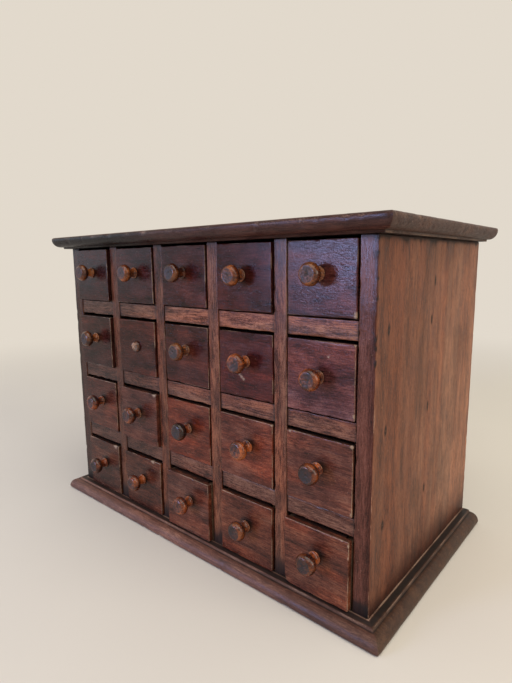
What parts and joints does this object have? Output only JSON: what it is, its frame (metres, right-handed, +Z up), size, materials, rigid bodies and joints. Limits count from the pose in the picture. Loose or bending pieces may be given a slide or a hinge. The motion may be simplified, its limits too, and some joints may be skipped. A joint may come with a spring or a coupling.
{
  "type": "spice drawer cabinet",
  "caption": "Wooden tabletop cabinet with a grid of small sliding drawers, each with a turned wooden knob, between a moulded top board and a moulded base board.",
  "frame": {"origin": "centre of the base board's underside, which is the face that the cabinet stands on", "axes": "+X to the right as the drawers are faced, -Y out of the drawer fronts, +Z up"},
  "size_m": [0.434, 0.245, 0.3165],
  "materials": {
    "board_wood": "satin, dark stained hardwood",
    "carcass_wood": "satin, red-brown stained hardwood",
    "drawer_wood": "satin, dark red-brown stained hardwood",
    "knob_wood": "polished, orange-brown, dark end grain",
    "back_panel_wood": "unpolished",
    "nail_iron": "dull, rusted"
  },
  "bodies": {
    "cabinet": {"top_board": "board_wood", "base_board": "board_wood", "left_side": "carcass_wood", "right_side": "carcass_wood", "back_panel": "back_panel_wood", "divider_1": "carcass_wood", "divider_2": "carcass_wood", "divider_3": "carcass_wood", "divider_4": "carcass_wood", "shelf_1": "carcass_wood", "shelf_2": "carcass_wood", "shelf_3": "carcass_wood", "shelf_nails": "nail_iron", "top_board_nails": "nail_iron", "base_board_nails": "nail_iron", "back_panel_pins": "nail_iron"},
    "drawer_r1c1": {"drawer_r1c1": "drawer_wood", "knob_r1c1": "knob_wood"},
    "drawer_r1c2": {"drawer_r1c2": "drawer_wood", "knob_r1c2": "knob_wood"},
    "drawer_r1c3": {"drawer_r1c3": "drawer_wood", "knob_r1c3": "knob_wood"},
    "drawer_r1c4": {"drawer_r1c4": "drawer_wood", "knob_r1c4": "knob_wood"},
    "drawer_r1c5": {"drawer_r1c5": "drawer_wood", "knob_r1c5": "knob_wood"},
    "drawer_r2c1": {"drawer_r2c1": "drawer_wood", "knob_r2c1": "knob_wood"},
    "drawer_r2c2": {"drawer_r2c2": "drawer_wood", "knob_r2c2": "knob_wood"},
    "drawer_r2c3": {"drawer_r2c3": "drawer_wood", "knob_r2c3": "knob_wood"},
    "drawer_r2c4": {"drawer_r2c4": "drawer_wood", "knob_r2c4": "knob_wood"},
    "drawer_r2c5": {"drawer_r2c5": "drawer_wood", "knob_r2c5": "knob_wood"},
    "drawer_r3c1": {"drawer_r3c1": "drawer_wood", "knob_r3c1": "knob_wood"},
    "drawer_r3c2": {"drawer_r3c2": "drawer_wood", "knob_r3c2": "knob_wood"},
    "drawer_r3c3": {"drawer_r3c3": "drawer_wood", "knob_r3c3": "knob_wood"},
    "drawer_r3c4": {"drawer_r3c4": "drawer_wood", "knob_r3c4": "knob_wood"},
    "drawer_r3c5": {"drawer_r3c5": "drawer_wood", "knob_r3c5": "knob_wood"},
    "drawer_r4c1": {"drawer_r4c1": "drawer_wood", "knob_r4c1": "knob_wood"},
    "drawer_r4c2": {"drawer_r4c2": "drawer_wood", "knob_r4c2": "knob_wood"},
    "drawer_r4c3": {"drawer_r4c3": "drawer_wood", "knob_r4c3": "knob_wood"},
    "drawer_r4c4": {"drawer_r4c4": "drawer_wood", "knob_r4c4": "knob_wood"},
    "drawer_r4c5": {"drawer_r4c5": "drawer_wood", "knob_r4c5": "knob_wood"}
  },
  "joints": [
    {"name": "drawer_r1c1_slide", "type": "slide", "parent": "cabinet", "child": "drawer_r1c1", "axis": [0, -1, 0], "range_m": [-0.004, 0.15]},
    {"name": "drawer_r1c2_slide", "type": "slide", "parent": "cabinet", "child": "drawer_r1c2", "axis": [0, -1, 0], "range_m": [-0.002, 0.15]},
    {"name": "drawer_r1c3_slide", "type": "slide", "parent": "cabinet", "child": "drawer_r1c3", "axis": [0, -1, 0], "range_m": [-0.0017, 0.15]},
    {"name": "drawer_r1c4_slide", "type": "slide", "parent": "cabinet", "child": "drawer_r1c4", "axis": [0, -1, 0], "range_m": [-0.002, 0.15]},
    {"name": "drawer_r1c5_slide", "type": "slide", "parent": "cabinet", "child": "drawer_r1c5", "axis": [0, -1, 0], "range_m": [-0.0008, 0.15]},
    {"name": "drawer_r2c1_slide", "type": "slide", "parent": "cabinet", "child": "drawer_r2c1", "axis": [0, -1, 0], "range_m": [-0.004, 0.15]},
    {"name": "drawer_r2c2_slide", "type": "slide", "parent": "cabinet", "child": "drawer_r2c2", "axis": [0, -1, 0], "range_m": [-0.0022, 0.15]},
    {"name": "drawer_r2c3_slide", "type": "slide", "parent": "cabinet", "child": "drawer_r2c3", "axis": [0, -1, 0], "range_m": [-0.0006, 0.15]},
    {"name": "drawer_r2c4_slide", "type": "slide", "parent": "cabinet", "child": "drawer_r2c4", "axis": [0, -1, 0], "range_m": [-0.0006, 0.15]},
    {"name": "drawer_r2c5_slide", "type": "slide", "parent": "cabinet", "child": "drawer_r2c5", "axis": [0, -1, 0], "range_m": [-0.0007, 0.15]},
    {"name": "drawer_r3c1_slide", "type": "slide", "parent": "cabinet", "child": "drawer_r3c1", "axis": [0, -1, 0], "range_m": [-0.0017, 0.15]},
    {"name": "drawer_r3c2_slide", "type": "slide", "parent": "cabinet", "child": "drawer_r3c2", "axis": [0, -1, 0], "range_m": [-0.004, 0.15]},
    {"name": "drawer_r3c3_slide", "type": "slide", "parent": "cabinet", "child": "drawer_r3c3", "axis": [0, -1, 0], "range_m": [-0.0013, 0.15]},
    {"name": "drawer_r3c4_slide", "type": "slide", "parent": "cabinet", "child": "drawer_r3c4", "axis": [0, -1, 0], "range_m": [-0.0017, 0.15]},
    {"name": "drawer_r3c5_slide", "type": "slide", "parent": "cabinet", "child": "drawer_r3c5", "axis": [0, -1, 0], "range_m": [-0.0015, 0.15]},
    {"name": "drawer_r4c1_slide", "type": "slide", "parent": "cabinet", "child": "drawer_r4c1", "axis": [0, -1, 0], "range_m": [-0.0025, 0.15]},
    {"name": "drawer_r4c2_slide", "type": "slide", "parent": "cabinet", "child": "drawer_r4c2", "axis": [0, -1, 0], "range_m": [-0.0025, 0.15]},
    {"name": "drawer_r4c3_slide", "type": "slide", "parent": "cabinet", "child": "drawer_r4c3", "axis": [0, -1, 0], "range_m": [-0.0055, 0.15]},
    {"name": "drawer_r4c4_slide", "type": "slide", "parent": "cabinet", "child": "drawer_r4c4", "axis": [0, -1, 0], "range_m": [-0.003, 0.15]},
    {"name": "drawer_r4c5_slide", "type": "slide", "parent": "cabinet", "child": "drawer_r4c5", "axis": [0, -1, 0], "range_m": [-0.005, 0.15]}
  ]
}
